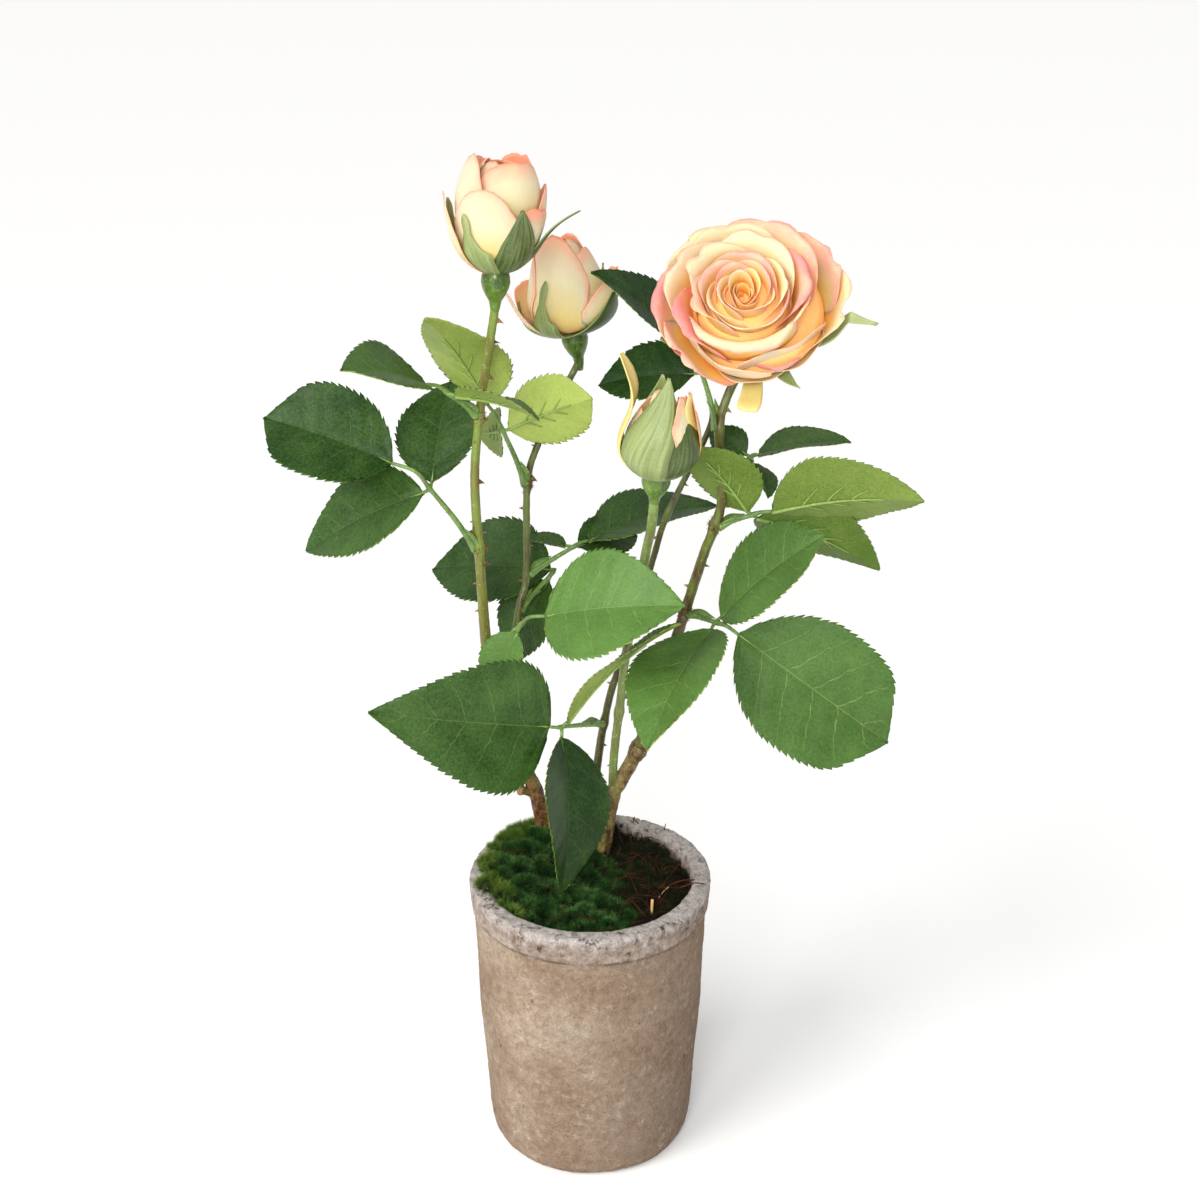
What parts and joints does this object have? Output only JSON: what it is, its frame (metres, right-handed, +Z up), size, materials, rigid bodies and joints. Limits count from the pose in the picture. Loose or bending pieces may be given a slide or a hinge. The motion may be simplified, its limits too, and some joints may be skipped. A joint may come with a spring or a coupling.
{
  "type": "artificial potted rose bush",
  "caption": "Artificial rose bush in a weathered clay pot: moss bed, thorny canes, toothed compound leaves, buds and one open bloom.",
  "frame": {"origin": "middle of the pot's flat underside, at the level of the floor", "axes": "+Z up along the pot's axis, -Y towards the viewer, +X towards the side of the open bloom"},
  "size_m": [0.3035, 0.1481, 0.5033],
  "materials": {
    "clay": "weathered, whitewashed and unglazed",
    "moss": "bristly preserved moss with brown fibres",
    "bark": "moulded and painted bark",
    "cane": "moulded green cane with thorns",
    "leaf": "printed leaf cloth with veins",
    "calyx": "painted green cloth and plastic hip",
    "petal": "soft petal cloth, cream shading to peach"
  },
  "bodies": {
    "root": {"pot": "clay", "moss_bed": "moss", "left_trunk": "bark", "cane_left": "cane", "cane_left_back": "cane", "right_trunk": "bark", "cane_right": "cane", "cane_middle": "cane", "cane_right_back": "cane", "leaf_left_low": "leaf", "leaf_left_high": "leaf", "leaf_left_top": "leaf", "leaf_middle_top": "leaf", "leaf_middle_front": "leaf", "leaf_back_left": "leaf", "leaf_back_middle": "leaf", "leaf_right_low": "leaf", "leaf_right_high": "leaf", "leaf_back_right": "leaf", "leaf_behind_rose": "leaf", "bud_left_calyx": "calyx", "bud_left_petals": "petal", "bud_back_calyx": "calyx", "bud_back_petals": "petal", "bud_green_calyx": "calyx", "bud_green_petals": "petal", "rose_calyx": "calyx", "rose_petals": "petal"}
  },
  "joints": []
}
